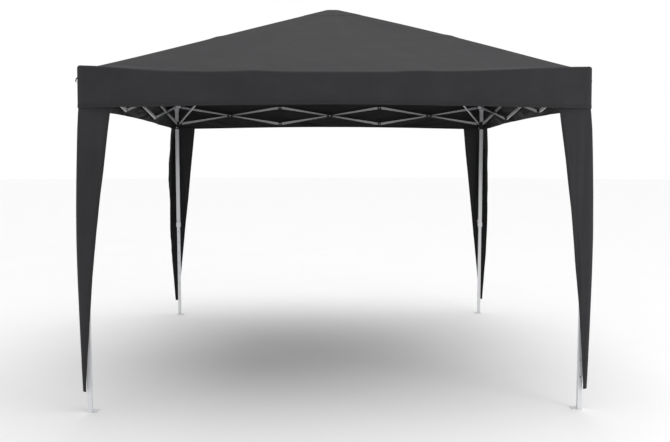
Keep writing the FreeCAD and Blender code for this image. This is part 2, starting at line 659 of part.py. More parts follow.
def make_outer_arm():
    tube = square_tube("outer_arm_tube", "YZ_Plane", "roof_bar_wide", "roof_bar_wide", "roof_bar_wall",
                       "fitting_show", "outer_arm_long - fitting_show - knee_reach")
    near, far = "knuckle_tongue / 2 + ear_gap", "knuckle_tongue / 2 + ear_gap + ear_thick"
    ears = knee_end("knee_ears", "outer_arm_long", [(near, far), (f"-({far})", f"-({near})")])
    half = f"{ROOF_HALF} + clip_wall"
    inner, outer = "strut_wide / 2 + ear_gap", "strut_wide / 2 + ear_gap + ear_thick"
    start, end = "strut_along - clip_long / 2", "strut_along + clip_long / 2"
    lugs = [
        join(f"clip_lug_{name}",
             box(f"clip_web_{name}", ("strut_along - ear_radius", "strut_along + ear_radius"),
                 (low, high), ("-strut_drop", f"-({ROOF_HALF}) - clip_wall / 2")),
             rod(f"clip_round_{name}", "ear_radius", "Y", low, high, ("strut_along", "-strut_drop")))
        for name, low, high in (("left", inner, outer), ("right", f"-({outer})", f"-({inner})"))
    ]
    clip = cut(
        "strut_clip",
        join("strut_clip_blank", box("clip_block", (start, end), (f"-({outer})", outer),
                                     (f"-({half})", half)), *lugs),
        box("clip_bore", (f"{start} - 1", f"{end} + 1"), (f"-({ROOF_HALF})", ROOF_HALF),
            (f"-({ROOF_HALF})", ROOF_HALF)),
        rod("clip_hole", "rivet_radius", "Y", "-roof_bar_wide", "roof_bar_wide",
            ("strut_along", "-strut_drop")),
    )
    pin = fork_rivet("strut_pin", "strut_wide", ("strut_along", "-strut_drop"))
    return [tube, round_end("outer_arm_end", ROOF_HALF), ears, clip, pin]


def make_strut():
    """Square tube between two plastic ends, from its pivot on the roof bar down to the slider."""
    tube = square_tube("strut_tube", "YZ_Plane", "strut_wide", "strut_wide", "strut_wall",
                       "fitting_show", "strut_long - fitting_show")
    end = round_end("strut_end", "strut_wide / 2")
    return [tube, end, group("strut_end_far", end, x="strut_long", yaw=180)]


# ---- hub, cap and cloth, in the tent's own frame ----

def turned(name, profile):
    """A body turned about +Z from an outline of (radius, height) corners."""
    body = new_body(name)
    sketch = new_sketch(body, f"{name}_profile", "XZ_Plane")
    outline(sketch, profile)
    spun = body.newObject("PartDesign::Revolution", f"{name}_turn")
    spun.Profile = sketch
    spun.ReferenceAxis = (sketch, ["V_Axis"])
    spun.Angle = 360
    return body


def make_hub():
    rim = "hub_radius - hub_chamfer"
    barrel = turned("hub_barrel", [
        ("hub_bore_radius", "hub_low"), (rim, "hub_low"), ("hub_radius", "hub_low + hub_chamfer"),
        ("hub_radius", "hub_top - hub_chamfer"), (rim, "hub_top"), ("hub_bore_radius", "hub_top")])
    arm = fork("hub_fork", "hub_pivot_reach", "roof_bar_wide", "arm_ear_radius", "hub_pivot_height",
               "hub_fork_root", "hub_fork_root", ROOF_HALF)
    pin = fork_rivet("hub_pin", "roof_bar_wide", ("hub_pivot_reach", "hub_pivot_height"))
    turns = [45 + 90 * n for n in range(4)]
    body = join("hub_body", barrel, *[group(f"hub_fork_{t}", arm, yaw=t) for t in turns])
    return group("hub", body, *[group(f"hub_pin_{t}", pin, yaw=t) for t in turns])


def make_peak_cap():
    return group("peak_cap", turned("cap", [
        ("0", "hub_top"), ("cap_stem_radius", "hub_top"),
        ("cap_flare_radius", "hub_top + cap_flare_height"), ("cap_radius", "hub_top + cap_rim_low"),
        ("cap_radius", "hub_top + cap_rim_top"), ("cap_shoulder_radius", "hub_top + cap_shoulder"),
        ("cap_crown_radius", "cap_top"), ("0", "cap_top")]))


def make_canopy():
    """A crown, and per side a roof panel, a valance panel and half of two leg covers."""
    outer = "canopy_half + cloth_thick"
    roof = new_body("roof_panel")
    plan = new_sketch(roof, "roof_plan", "XY_Plane")
    mitre = "(cloth_thick + cloth_joint)"
    outline(plan, [(f"-({outer}) + {mitre}", "0"), (f"{outer} - {mitre}", "0"),
                   (f"peak_half - {mitre} / 2", "roof_slant"),
                   (f"-peak_half + {mitre} / 2", "roof_slant")])
    pad(roof, plan, "cloth_thick").Reversed = True
    place(roof, y=f"-({outer})", z="eave_height", roll="roof_slope")

    joint = "cloth_joint"
    valance = box("valance_panel", (f"-canopy_half + {joint}", outer), (f"-({outer})", "-canopy_half"),
                  ("valance_low", "eave_height - eave_drop"))

    panels = []
    for name, start, side in (("left", f"-({outer})", 1), ("right", f"canopy_half - {joint}", -1)):
        cover = new_body(f"cover_{name}")
        plan = new_sketch(cover, f"cover_{name}_plan", "XZ_Plane")
        sign = "" if side > 0 else "-"
        outline(plan, [(start, "cover_low"), (f"{start} + ({sign}cover_low_wide)", "cover_low"),
                       (f"{start} + ({sign}cover_top_wide)", f"valance_low - {joint}"),
                       (start, f"valance_low - {joint}")])
        pad(cover, plan, "cloth_thick")
        place(cover, y="-canopy_half")
        panels.append(cover)
    side = group("canopy_side", roof, valance, *panels)
    crown_half = f"peak_half - {mitre}"
    crown = box("canopy_crown", (f"-({crown_half})", crown_half), (f"-({crown_half})", crown_half),
                ("peak_height - cloth_thick", "peak_height"))
    return group("canopy", crown, *[group(f"canopy_side_{n}", side, yaw=90 * n) for n in range(4)])


# ---- the whole tent ----

CORNERS = (("front_left", -1, -1), ("front_right", 1, -1), ("back_right", 1, 1), ("back_left", -1, 1))
SIDES = ("front", "right", "back", "left")


def corner_kit():
    """Every piece of one corner, in the corner's frame."""
    inner_arm = group("inner_arm", *make_inner_arm(), pitch="arm_slope")
    # the inner arm starts at the hub, so it is drawn from there outwards
    middle = "leg_spacing / 2"
    hub_at = f"{middle} - hub_pivot_reach * cos(45)"
    kit = {
        "outer_leg": make_outer_leg(),
        "inner_leg": make_inner_leg(),
        "slider": make_slider(),
        "height_lock": make_pull_lock("height_lock", "leg_half + collar_boss", "button_height",
                                      "collar_boss + outer_leg_wall"),
        "slider_lock": make_pull_lock("slider_lock", "sleeve_half", "lock_height",
                                      "moulding_wall - sliding_gap"),
        "roof_bar_inner": group("inner_arm_placed", inner_arm, x=hub_at, y=hub_at,
                                z="hub_pivot_height", yaw=225),
        "roof_bar_outer": group("outer_arm_placed", *make_outer_arm(), x="bracket_reach * cos(45)",
                                y="bracket_reach * cos(45)", z="arm_pivot_height", yaw=45,
                                pitch="-arm_slope"),
    }
    strut_x = "strut_reach * cos(45)"
    kit["strut"] = group("strut_placed", *make_strut(), x=strut_x, y=strut_x, z="truss_bottom",
                         yaw=45, pitch="-strut_slope")
    return kit


def make_tent():
    """Each sub-part under its own label, as {label: object}."""
    tent = {"hub": make_hub(), "peak_cap": make_peak_cap(), "canopy": make_canopy()}
    kit = corner_kit()
    bars = {name: truss_bar(name) for name in TRUSS_BARS}
    for turn, (corner, right, back) in enumerate(CORNERS):
        where = {"x": f"{right} * leg_spacing / 2", "y": f"{back} * leg_spacing / 2", "yaw": 90 * turn}
        for piece, drawn in kit.items():
            label = f"{piece}_{corner}"
            tent[label] = group(label, drawn, **where)
        for name, drawn in bars.items():
            side = SIDES[turn] if TRUSS_BARS[name][0] == "own" else SIDES[turn - 1]
            label = f"truss_bar_{side}_{name}"
            tent[label] = group(label, drawn, **where)
    for label, made in tent.items():
        made.Label = label
    return tent


TENT = make_tent()
doc.recompute()

for made in doc.Objects:
    if {"Invalid", "Error"} & set(made.State):
        raise RuntimeError(f"{made.Label} could not be made: {made.State}")
for label, made in TENT.items():
    if made.Shape.isNull() or not made.Shape.isValid() or not made.Shape.Solids:
        raise RuntimeError(f"{label} has no valid solid")

os.makedirs("parts", exist_ok=True)
for label, made in TENT.items():
    made.Shape.exportStep(f"parts/{label}.step")
print(len(TENT), "sub-parts written;", sum(len(made.Shape.Solids) for made in TENT.values()), "solids")
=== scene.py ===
# %% [markdown]
# # A fold-up party tent
# The frame of this tent, its tubes, plastic joints, rivets and locks, comes from CAD and is only painted
# here.  What Blender adds is the cloth: a roof with a valance, and a tapered cover down every leg.
# The frame is loaded first, because most sizes and places below are read from it.

# %% Load the frame
import json
import math

import bpy
import numpy as np
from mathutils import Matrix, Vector, noise


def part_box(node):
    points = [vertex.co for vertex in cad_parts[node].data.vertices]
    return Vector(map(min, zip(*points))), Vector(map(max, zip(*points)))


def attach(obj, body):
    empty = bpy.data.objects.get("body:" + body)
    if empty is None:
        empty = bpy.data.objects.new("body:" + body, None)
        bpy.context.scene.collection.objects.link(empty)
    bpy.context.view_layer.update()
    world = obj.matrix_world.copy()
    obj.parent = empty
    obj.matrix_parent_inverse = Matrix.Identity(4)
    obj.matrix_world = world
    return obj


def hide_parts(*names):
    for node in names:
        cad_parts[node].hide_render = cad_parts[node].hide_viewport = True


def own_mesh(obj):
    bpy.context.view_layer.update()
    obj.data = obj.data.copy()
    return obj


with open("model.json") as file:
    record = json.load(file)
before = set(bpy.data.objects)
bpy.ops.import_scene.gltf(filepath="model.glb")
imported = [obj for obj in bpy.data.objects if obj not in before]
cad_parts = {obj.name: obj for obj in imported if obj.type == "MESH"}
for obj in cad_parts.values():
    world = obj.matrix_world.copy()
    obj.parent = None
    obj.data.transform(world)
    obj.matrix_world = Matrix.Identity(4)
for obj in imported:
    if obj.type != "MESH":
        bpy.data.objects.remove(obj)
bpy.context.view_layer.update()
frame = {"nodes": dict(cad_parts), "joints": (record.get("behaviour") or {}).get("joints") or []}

# %% [markdown]
# The four corners are one kit turned by quarter turns, and so are the four sides.  Each side runs from
# its left corner to its right one, as someone who stands outside and faces it sees them.

# %% Names and sizes that the whole tent shares
CORNERS = ("front_left", "front_right", "back_right", "back_left")
SIDES = ("front", "right", "back", "left")
CLOTH = 0.0012  # thickness of the coated polyester
joint_at = {j["name"]: Vector(j["pos_m"]) for j in frame["joints"] if "pos_m" in j}

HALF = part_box("canopy")[1].x
COVER_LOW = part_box("canopy")[0].z
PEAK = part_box("canopy")[1].z + 0.002
hub_pivot = joint_at["roof_arm_front_left"]
knee_pivot = joint_at["knee_front_left"]
bracket_pivot = joint_at["leg_head_front_left"]
BRACKET_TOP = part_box("outer_leg_front_left")[1].z
TRUSS_JOINT = abs(joint_at["truss_front_a2_top"].x)
print(f"cloth half width {HALF:.3f}, peak {PEAK:.3f}, truss joints at +-{TRUSS_JOINT:.3f}")


def clear_selection():
    """Operators act on all that is selected, so every step starts with nothing selected."""
    bpy.ops.object.select_all(action="DESELECT")


def make_active(obj):
    clear_selection()
    obj.select_set(True)
    bpy.context.view_layer.objects.active = obj


# %% [markdown]
# ## Writing a material as a sum
# A procedural material is arithmetic on positions.  One small class wraps a node socket, so that an
# expression such as `1 - mask * 0.2` adds its own Math nodes, and one method adds any other node.

# %% Socket arithmetic
class Value:
    """A node socket that can be used in a Python expression."""

    def __init__(self, paint, socket):
        self.paint = paint
        self.socket = socket

    def math(self, operation, *others):
        return self.paint.node("ShaderNodeMath", {"operation": operation}, [self, *others])

    def __add__(self, other):
        return self.math("ADD", other)

    def __mul__(self, other):
        return self.math("MULTIPLY", other)

    def __sub__(self, other):
        return self.math("SUBTRACT", other)

    def __rsub__(self, other):
        return self.paint.node("ShaderNodeMath", {"operation": "SUBTRACT"}, [other, self])

    def __truediv__(self, other):
        return self.math("DIVIDE", other)

    def __lt__(self, other):
        return self.math("LESS_THAN", other)

    __radd__ = __add__
    __rmul__ = __mul__

    def near(self, place, reach):
        """1 within reach of a place, else 0."""
        return self.math("SUBTRACT", place).math("ABSOLUTE") < reach

    def fade(self, start, end):
        """Runs smoothly from 0 at start to 1 at end."""
        return self.paint.node("ShaderNodeMapRange", {"interpolation_type": "SMOOTHSTEP"},
                               {"Value": self, "From Min": start, "From Max": end})

    def repeat(self, pitch):
        """Place within a repeat, from 0 to 1."""
        return (self / pitch).math("FRACT")


class Paint:
    """A material under construction, with the Principled shader that it ends in."""

    def __init__(self, name, roughness, metallic=0.0, sheen=0.0, specular=0.5, coat=0.0):
        self.material = bpy.data.materials.new(name)
        self.material.use_nodes = True
        self.tree = self.material.node_tree
        self.shader = self.tree.nodes["Principled BSDF"]
        for socket, number in (("Roughness", roughness), ("Metallic", metallic), ("Sheen Weight", sheen),
                               ("Specular IOR Level", specular), ("Coat Weight", coat)):
            self.shader.inputs[socket].default_value = number

    def node(self, kind, settings=None, inputs=None, output=0):
        made = self.tree.nodes.new(kind)
        for name, value in (settings or {}).items():
            setattr(made, name, value)
        pairs = inputs.items() if isinstance(inputs, dict) else enumerate(inputs or [])
        for key, value in pairs:
            if isinstance(value, Value):
                self.tree.links.new(value.socket, made.inputs[key])
            else:
                made.inputs[key].default_value = value
        return Value(self, made.outputs[output])

    def place(self):
        return self.node("ShaderNodeTexCoord", output="Object")

    def parts(self, vector):
        split = self.node("ShaderNodeSeparateXYZ", inputs=[vector]).socket.node
        return [Value(self, out) for out in split.outputs]

    def attribute(self, name):
        return self.node("ShaderNodeAttribute", {"attribute_name": name}, output="Fac")

    def clouds(self, vector, scale, detail=3.0, roughness=0.55, distortion=0.0):
        return self.node("ShaderNodeTexNoise", inputs={
            "Vector": vector, "Scale": scale, "Detail": detail, "Roughness": roughness,
            "Distortion": distortion}, output="Fac")

    def tint(self, mask, low, high):
        """A colour that runs from low to high with the mask."""
        made = self.node("ShaderNodeMix", {"data_type": "RGBA"}).socket.node
        ends = [(*c, 1.0) if isinstance(c, tuple) else c for c in (low, high)]
        for name, value in (("Factor", mask), ("A", ends[0]), ("B", ends[1])):
            target = next(s for s in made.inputs if s.name == name and s.enabled)
            if isinstance(value, Value):
                self.tree.links.new(value.socket, target)
            else:
                target.default_value = value
        return Value(self, next(s for s in made.outputs if s.enabled))

    def finish(self, colour, roughness, height, depth):
        """Links the colour, the roughness and a bump of this depth in metres."""
        bump = self.node("ShaderNodeBump", inputs={"Strength": 1.0, "Distance": depth, "Height": height})
        for value, socket in ((colour, "Base Color"), (roughness, "Roughness"), (bump, "Normal")):
            self.tree.links.new(value.socket, self.shader.inputs[socket])
        return self.material


print("materials are written as expressions from here on")

# %% [markdown]
# ## Coated polyester
# The roof is a charcoal oxford cloth: a fine square weave under a matt coating.  Its colour isn't even:
# it is dusted and slightly bleached in soft clouds and paler where it rubs over a bar, and shade is
# painted into it along seams, in the small puckers where the thread pulls the cloth and in the gathers
# by the hem.  Every sheet carries a UV map in metres and three distances as attributes, from its hip
# seam, from its hem and from the peak, and the stitches follow those.  The underside gets a paint of its
# own: a darker, near-black copy of the cloth paint, with the shade under the roof painted in.

# %% Cloth paint
STITCH = 0.005  # one stitch and its gap
THREAD = 0.0009
DASH = 0.62     # share of a stitch where its thread shows
WEAVE = 0.0011  # pitch of the threads of the cloth
PUCKER = 0.034  # pitch of the puckers along the patch
PATCH = 0.208   # edge of the patch that strengthens the peak
HEM = 0.020


def cloth_paint(name, base, dust, sheen):
    paint = Paint(name, 0.7, sheen=sheen, specular=0.28)
    run = paint.node("ShaderNodeUVMap", {"uv_map": "cloth"})
    across, down, _ = paint.parts(run)
    place = paint.place()
    from_hip, from_hem, from_peak = (paint.attribute(n) for n in ("from_hip", "from_hem", "from_peak"))

    clouds = paint.clouds(place, 2.3, detail=4.0)
    streaks = paint.clouds(place, 9.0, detail=5.0, distortion=0.6)
    fibre = paint.clouds(run, 900.0, detail=2.0)
    creases = paint.clouds(run, 14.0, detail=6.0, roughness=0.62, distortion=1.1)
    rubbed = 1 - from_hip.fade(0.004, 0.030)
    dashes_across = across.repeat(STITCH) < DASH
    dashes_down = down.repeat(STITCH) < DASH
    hip_rows = (from_hip.near(0.006, THREAD) + from_hip.near(0.013, THREAD)) * dashes_down
    hem_rows = (from_hem.near(HEM - 0.003, THREAD) + from_hem.near(HEM - 0.009, THREAD)) * dashes_across
    patch_rows = (from_peak.near(PATCH, THREAD) + from_peak.near(PATCH - 0.007, THREAD)) * dashes_across
    stitches = hip_rows + hem_rows + patch_rows
    pucker = paint.node("ShaderNodeMath", {"operation": "SINE"}, [across * (math.tau / PUCKER)])
    pucker = (pucker * 0.5 + 0.5) * (1 - from_peak.math("SUBTRACT", PATCH).math("ABSOLUTE").fade(0.0, 0.016))
    gather = paint.clouds(run, 60.0, detail=3.0) * (1 - from_hem.fade(0.012, 0.050))

    mask = clouds * 0.55 + streaks * 0.30 + fibre * 0.15
    colour = paint.tint(mask.fade(0.30, 0.72), base, dust)
    colour = paint.tint(rubbed * 0.22, colour, tuple(2.1 * c for c in dust))
    # painted shade: the puckers by the patch seam and the gathers by the hem are darkened in the colour
    colour = paint.tint(pucker * 0.75 + gather * 0.25, colour, tuple(0.30 * c for c in base))
    colour = paint.tint(stitches * 0.65, colour, tuple(0.45 * c for c in base))
    weave_across = paint.node("ShaderNodeMath", {"operation": "SINE"}, [across * (math.tau / WEAVE)])
    weave_down = paint.node("ShaderNodeMath", {"operation": "SINE"}, [down * (math.tau / WEAVE)])
    weave = weave_across * weave_down
    height = (creases * 0.55 + streaks * 0.30 + weave * 0.030 + stitches * 0.22 + fibre * 0.05
              - pucker * 0.9 - gather * 0.25)
    roughness = 0.66 + clouds * 0.14 - rubbed * 0.08
    return paint.finish(colour, roughness, height, 0.0016)


OUTSIDE = cloth_paint("charcoal_cloth", (0.0195, 0.0196, 0.0216), (0.0275, 0.0277, 0.0305), 0.015)
# the underside paint is a darker copy of the cloth paint: painted shade for the space under the roof
INSIDE = cloth_paint("underside_painted_shade", (0.010, 0.010, 0.011), (0.015, 0.015, 0.017), 0.0)
print("cloth paints:", OUTSIDE.name, INSIDE.name)

# %% [markdown]
# ## Powder coat, nylon and zinc
# The tubes are powder coated: a satin film with a faint orange-peel texture, with rubbed, paler
# patches.  The joints are moulded nylon, black and finely grained.  Rivets are zinc plated, with a soft
# brushed cloudiness.

# %% Frame paints
def powder_coat(name, colour, worn, metallic):
    paint = Paint(name, 0.4, metallic=metallic, coat=0.12)
    place = paint.place()
    peel = paint.clouds(place, 900.0, detail=2.0)
    rub = paint.clouds(place, 34.0, detail=6.0, roughness=0.7, distortion=0.8)
    scratch = paint.clouds(place, 140.0, detail=8.0, roughness=0.8, distortion=2.0).fade(0.60, 0.68)
    mask = rub.fade(0.42, 0.75) * 0.5 + scratch * 0.5
    shade = paint.tint(mask, colour, worn)
    return paint.finish(shade, 0.36 + rub * 0.16 + peel * 0.06, peel + scratch * -0.6, 0.00008)


def nylon(name, colour, pale):
    paint = Paint(name, 0.5, specular=0.45)
    place = paint.place()
    grain = paint.clouds(place, 1300.0, detail=3.0)
    wear = paint.clouds(place, 55.0, detail=5.0, roughness=0.7)
    shade = paint.tint(wear.fade(0.45, 0.80), colour, pale)
    return paint.finish(shade, 0.44 + wear * 0.18, grain, 0.00010)


def zinc(name):
    paint = Paint(name, 0.3, metallic=1.0)
    place = paint.place()
    bloom = paint.clouds(place, 420.0, detail=5.0, roughness=0.7, distortion=1.2)
    shade = paint.tint(bloom, (0.42, 0.42, 0.41), (0.66, 0.66, 0.65))
    return paint.finish(shade, 0.24 + bloom * 0.22, bloom, 0.00005)


GREY_STEEL = powder_coat("grey_powder_coat", (0.42, 0.42, 0.43), (0.56, 0.56, 0.57), 0.3)
PALE_STEEL = powder_coat("pale_powder_coat", (0.76, 0.77, 0.79), (0.84, 0.85, 0.86), 0.1)
BLACK_NYLON = nylon("black_nylon", (0.014, 0.014, 0.015), (0.034, 0.034, 0.035))
ZINC = zinc("zinc_plate")
print("frame paints:", GREY_STEEL.name, PALE_STEEL.name, BLACK_NYLON.name, ZINC.name)

# %% [markdown]
# A CAD node holds several solids of different stuff, such as a tube, its plastic ends and a rivet.  The
# solids are told apart by walking from triangle to triangle over shared corners, and each is painted by
# its size: anything short is a rivet, anything long is a tube, and the rest is moulded.  A truss bar is
# one solid with its fittings, so the black ends and the black bush are found by their place along it.

# %% Paint each solid of every CAD node
RIVET_SIZE = 0.035
TUBE_LENGTH = 0.42
END_FITTING = 0.028
BUSH_HALF = 0.0275
FOOT_TOP = 0.02                  # what lies lower on an inner leg is its steel foot plate
TUBE, MOULDING, RIVET = 0, 1, 2  # order of the materials on every node


def sleeved(points, long):
    """Which triangles of a truss bar lie on its end fittings or on the bush at its middle."""
    centres = points.mean(axis=1)
    middle = (points.reshape(-1, 3).max(axis=0) + points.reshape(-1, 3).min(axis=0)) / 2
    from_middle = np.linalg.norm(centres - middle, axis=1)
    return (from_middle < BUSH_HALF) | (from_middle > long / 2 - END_FITTING)


def solids_of(mesh):
    """The polygons of each separate solid, with its points, three to a polygon."""
    place = np.empty(len(mesh.vertices) * 3)
    mesh.vertices.foreach_get("co", place)
    place = place.reshape(-1, 3)
    _, spot = np.unique(np.round(place * 1e5).astype(np.int64), axis=0, return_inverse=True)
    corners = np.empty(len(mesh.loops), dtype=np.int64)
    mesh.loops.foreach_get("vertex_index", corners)
    triangles = spot.reshape(-1)[corners].reshape(-1, 3)
    group = np.arange(spot.max() + 1)
    while True:
        lowest = group[triangles].min(axis=1)
        merged = group.copy()
        for column in range(3):
            np.minimum.at(merged, triangles[:, column], lowest)
        merged = merged[merged]
        if (merged == group).all():
            break
        group = merged
    of_triangle = group[triangles[:, 0]]
    for label in np.unique(of_triangle):
        mine = np.nonzero(of_triangle == label)[0]
        yield mine, place[corners.reshape(-1, 3)[mine]]


def paint_node(node, tube, moulding):
    mesh = frame["nodes"][node].data
    mesh.materials.clear()
    for material in (tube, moulding, ZINC):
        mesh.materials.append(material)
    index = np.full(len(mesh.polygons), TUBE, dtype=np.int32)
    count = 0
    for polygons, points in solids_of(mesh):
        extent = np.ptp(points.reshape(-1, 3), axis=0)
        longest = np.linalg.norm(extent)
        if longest < RIVET_SIZE:
            index[polygons] = RIVET
        elif longest <= TUBE_LENGTH:
            index[polygons] = MOULDING
        elif node.startswith("truss_bar"):
            index[polygons[sleeved(points, longest)]] = MOULDING
        count += 1
    mesh.polygons.foreach_set("material_index", index)
    return count


painted = 0
for node in frame["nodes"]:
    if node == "canopy":
        continue
    steel = PALE_STEEL if node.startswith(("inner_leg", "outer_leg")) else GREY_STEEL
    painted += paint_node(node, steel, BLACK_NYLON)
for corner in CORNERS:
    leg = frame["nodes"][f"inner_leg_{corner}"].data
    for polygon in leg.polygons:
        if polygon.center.z < FOOT_TOP:
            polygon.material_index = TUBE
print(painted, "solids painted")

# %% [markdown]
# ## The roof and the valance as one sheet
# The cloth is one continuous sheet: it starts at the peak, runs over the four hips, turns over the eaves
# and hangs as a valance.  It could be draped by simulation, but the real one is sewn to size and pulled
# tight by the frame, so its shape follows from what holds it: the cap, the arms, the brackets and the
# upper truss joints.  It is laid out as rings round the peak, each a square with rounded corners, and
# heights are worked out from those supports.

# %% Rings of the sheet
HIP_STEEPNESS = 0.4374  # fall of the hips per metre of half width
SHOULDER = 0.050
EAVE_ROUND = 0.016
HIP_ROUND = 0.009
BLEND = 0.003           # how softly the cloth passes from one support to the next
HALF_COLUMNS = 96
CROWDING = 1.7          # how much closer the columns stand near a corner
KNEE = knee_pivot.xy.length / math.sqrt(2)
VALANCE_LOW = 1.777
VALANCE_ARCH = 0.021
VALANCE_ROWS = 34

eave_start = HALF - EAVE_ROUND * (1 - math.sin(math.atan(HIP_STEEPNESS)))
roof_rings = np.unique(np.round(np.concatenate([
    np.linspace(0, SHOULDER, 9), np.linspace(SHOULDER, PATCH - 0.010, 9),
    PATCH + np.array([-0.006, -0.002, 0.002, 0.006]), np.linspace(PATCH + 0.012, KNEE, 26),
    np.linspace(KNEE, 1.33, 24), np.linspace(1.33, eave_start, 14)]), 6))
knee_row = int(np.abs(roof_rings - KNEE).argmin())
print(len(roof_rings), "rings on the roof; the knee is at ring", knee_row)

shares = np.linspace(0, 1, HALF_COLUMNS + 1)
shares = np.expm1(CROWDING * shares) / math.expm1(CROWDING)


def ring_half(half):
    """Left half of the front of each ring: places, plan normals and runs from the corner."""
    half, radius = half[:, None], np.minimum(HIP_ROUND, half * 0.5)[:, None] + 1e-9
    arc = radius * math.pi / 4
    run = shares[None, :] * (arc + half - radius)
    turn = np.clip(math.pi / 4 - run / radius, 0, math.pi / 4)
    x = -(half - radius) - radius * np.sin(turn) + np.maximum(run - arc, 0)
    y = -(half - radius) - radius * np.cos(turn)
    return x, y, -np.sin(turn), -np.cos(turn), run


def smooth_max(*heights):
    """The highest of several heights, with a soft change from one to the next."""
    heights = np.stack(np.broadcast_arrays(*heights))
    top = heights.max(axis=0)
    return top + BLEND * np.log(np.exp((heights - top) / BLEND).sum(axis=0))


# %% [markdown]
# The roof bars bow a little under tension, more on the right than on the left, and every knee pushes a
# small bump into its hip.  At the corners the cloth lies flat on the top bracket, and between them the
# eaves sag onto the truss joints.

# %% Heights of the roof
BOW = {"front_left": 0.002, "front_right": 0.015, "back_right": 0.008, "back_left": 0.005}
GRIP = {"front_left": 0.34, "front_right": 0.58, "back_right": 0.45, "back_left": 0.50}
CORNER_HEIGHT = BRACKET_TOP + 0.012
arm_fall = (hub_pivot.z - bracket_pivot.z) / (bracket_pivot.xy.length - hub_pivot.xy.length)
ARM_TOP = hub_pivot.z + arm_fall * hub_pivot.xy.length + 0.0112
CROWN_DROP = 0.008  # how far the rounded crown falls to its shoulder


def crown_height(ring):
    return PEAK - CROWN_DROP * np.clip((ring - 0.020) / 0.030, 0, 1) ** 1.5


def tight_height(ring):
    """Height of cloth that is pulled straight from the shoulder to the eave."""
    return PEAK - CROWN_DROP - HIP_STEEPNESS * (ring - SHOULDER)


def hip_height(ring, corner):
    """Height of the cloth over one roof arm."""
    bow = BOW[corner] * np.sin(np.pi * np.clip(ring / HALF, 0, 1))
    bump = 0.004 * np.exp(-((ring - KNEE) / 0.028) ** 2)
    on_arm = ARM_TOP - arm_fall * math.sqrt(2) * ring
    held = smooth_max(tight_height(ring) + bow + bump, on_arm, CORNER_HEIGHT)
    return np.where(ring < SHOULDER, crown_height(ring), held)


def flat_height(ring):
    """Height of a panel away from its hips."""
    eave = 0.005 * np.exp(-((HALF - ring) / 0.30) ** 2)
    sag = 0.007 * np.sin(np.pi * np.clip(ring / HALF, 0, 1)) ** 2
    return np.where(ring < SHOULDER, crown_height(ring), tight_height(ring) + eave - sag)


def soft_noise(x, y, z):
    """Smooth noise at every place of an array."""
    places = np.stack(np.broadcast_arrays(x, y, z), axis=-1).reshape(-1, 3)
    found = np.fromiter((noise.noise(Vector(p)) for p in places), float, len(places))
    return found.reshape(np.broadcast(x, y, z).shape)


def roof_height(x, y, ring, corner):
    """Height of the half panel that starts at this corner; x and y in the side's own frame, though y is not
    used.
    """
    off_hip = np.maximum(ring - np.abs(x), 0)
    lift = hip_height(ring, corner) - flat_height(ring)
    grip = GRIP[corner] * np.clip(ring / HALF, 0.25, 1)
    height = flat_height(ring) + lift * np.exp(-(off_hip / grip) ** 2)
    at_joint = np.exp(-((np.abs(x) - TRUSS_JOINT) / 0.11) ** 2 - ((HALF - ring) / 0.12) ** 2)
    return height + 0.006 * at_joint


# %% [markdown]
# Wrinkles follow the pull in the cloth.  On the roof they are faint and fan out from the corners and
# from the peak.  On the valance, which hangs loose below the eaves, they are long soft folds at a
# shallow slant, and near each corner a crease runs down where the leg cover is sewn on.

# %% Wrinkles
COVER_TOP_WIDE = 0.187


def roof_wrinkles(x, y, ring):
    tau = np.arctan2(x, -y)
    fan = soft_noise(tau * 5.2, ring * 0.9, 3.1) * 0.0042
    broad = soft_noise(x * 1.7, y * 1.7, 7.7) * 0.0050
    fine = soft_noise(x * 7.0, y * 7.0, 11.3) * 0.0030
    inside = np.clip((ring - 0.06) / 0.25, 0, 1) * np.clip((HALF - ring) / 0.10, 0.1, 1)
    off_hip = np.clip((ring - np.abs(x)) / 0.10, 0, 1)
    return (fan + broad + fine) * inside * off_hip


def valance_folds(x, depth, turn):
    """How far the valance stands out; depth runs from 0 at the eave to 1 at the hem."""
    slant = np.where(x < 0, 0.24, -0.30)
    across = depth * 0.22 - slant * x
    folds = soft_noise(x * 1.5, across * 8.5, 2.0 + 5.0 * turn)
    ridges = 1 - np.abs(soft_noise(x * 2.3, across * 13.0, 31.0 + 5.0 * turn)) * 2.6
    sway = soft_noise(x * 2.1, depth * 0.5, 17.0 + 3.0 * turn)
    free = np.clip(depth * 1.3, 0, 1)
    from_corner = HALF - np.abs(x)
    crease = -0.0030 * np.exp(-((from_corner - COVER_TOP_WIDE) / 0.010) ** 2) * depth
    calm = np.clip((from_corner - 0.015) / 0.16, 0, 1)
    stand = 0.008 + 0.015 * folds + 0.006 * np.clip(ridges, 0, 1) + 0.008 * sway
    return np.maximum(stand * free * calm + crease + 0.0025 * depth, 0.0)


# %% [markdown]
# Everything about a ring is now known, so the sheet is filled in side by side: roof rings, a rounded
# eave, and the rows of the valance.  The four sides share their corner columns exactly, which is what
# keeps the sheet continuous.

# %% Fill in the sheet
EAVE_STEPS = 5
SEAM_TALL, SEAM_WIDE = 0.0008, 0.016
PATCH_TALL = 0.0012
HEM_TALL = 0.0009
HEM_FROM = 0.91     # depth, as a share of the valance, where its hem starts


